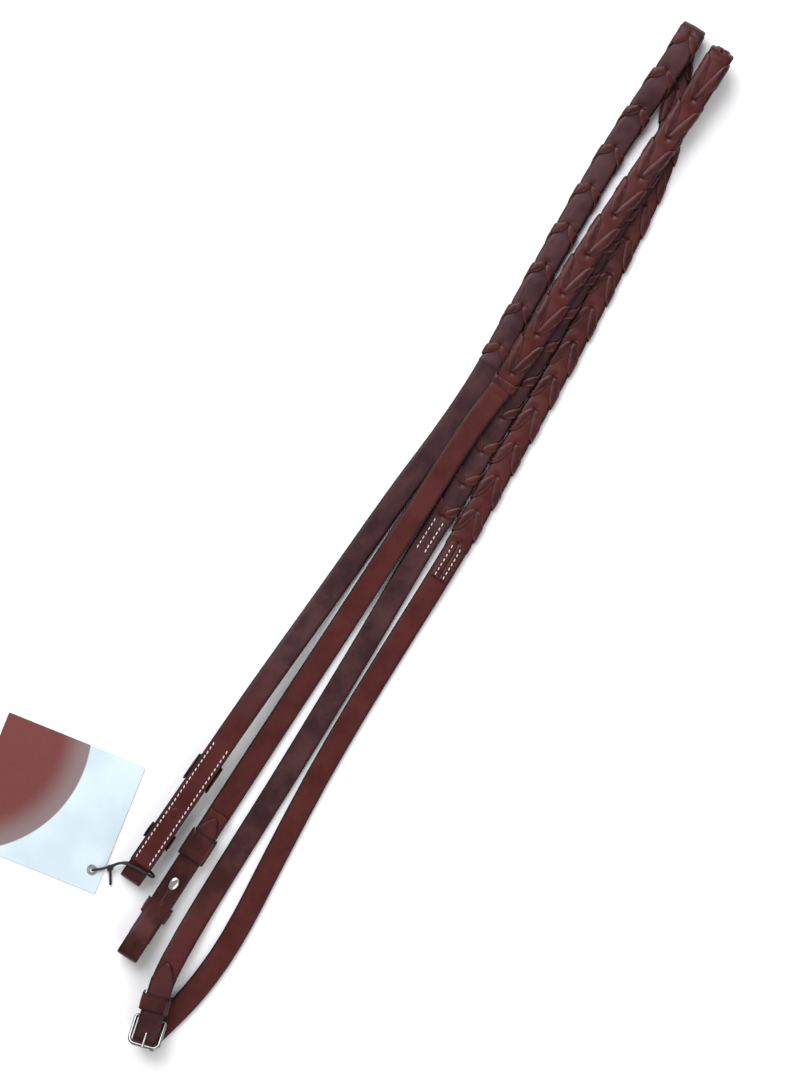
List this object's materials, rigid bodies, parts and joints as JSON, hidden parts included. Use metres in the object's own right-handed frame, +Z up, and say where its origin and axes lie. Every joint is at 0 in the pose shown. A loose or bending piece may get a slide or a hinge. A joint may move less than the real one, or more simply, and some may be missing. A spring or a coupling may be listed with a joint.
{
  "type": "laced leather reins",
  "caption": "Pair of dark brown laced leather reins, folded flat, with hook-stud bit billets, a centre hand buckle and a swing tag.",
  "frame": {"origin": "on the surface the reins lie on, under the middle of the folded bundle without its tag", "axes": "+Y along the bundle from the hand buckle towards the top fold, +X across it, +Z up"},
  "size_m": [0.2098, 0.7613, 0.023],
  "materials": {
    "rein_leather": "satin, waxed bridle leather with dark dyed edges",
    "lace_leather": "satin, thin latigo lace",
    "billet_leather": "satin, waxed bridle leather",
    "white_thread": "waxed linen thread",
    "nickel": "polished nickel plate",
    "black_cord": "waxed cotton cord",
    "tag_card": "coated card with a plain printed band",
    "tag_eyelet": "pressed eyelet"
  },
  "bodies": {
    "reins": {"off_rein_strap": "rein_leather", "near_rein_strap": "rein_leather", "off_rein_return": "rein_leather", "near_rein_return": "rein_leather", "off_hand_billet": "rein_leather", "off_lace": "lace_leather", "near_lace": "lace_leather", "off_lace_stitching": "white_thread", "near_lace_stitching": "white_thread", "off_billet": "billet_leather", "near_billet": "billet_leather", "off_hook_stud": "nickel", "near_hook_stud": "nickel", "off_stud_washer": "nickel", "near_stud_washer": "nickel", "off_upper_keeper": "billet_leather", "near_upper_keeper": "billet_leather", "off_lower_keeper": "billet_leather", "near_lower_keeper": "billet_leather", "off_billet_stitching": "white_thread", "near_billet_stitching": "white_thread", "buckle_keeper": "billet_leather", "buckle_stitching": "white_thread", "tag_string": "black_cord", "tag_knot": "black_cord"},
    "buckle": {"buckle_frame": "nickel", "buckle_tongue": "nickel"},
    "tag": {"tag_card": "tag_card", "tag_eyelet": "tag_eyelet"}
  },
  "joints": [
    {"name": "buckle_swing", "type": "hinge", "parent": "reins", "child": "buckle", "pos_m": [0.0209, -0.361, 0.0079], "axis": [-0.9703, -0.2419, 0], "range_deg": [0, 4]},
    {"name": "tag_turn", "type": "hinge", "parent": "reins", "child": "tag", "pos_m": [-0.062, -0.297, 0.0005], "axis": [0, 0, 1], "range_deg": [-8, 8]}
  ]
}
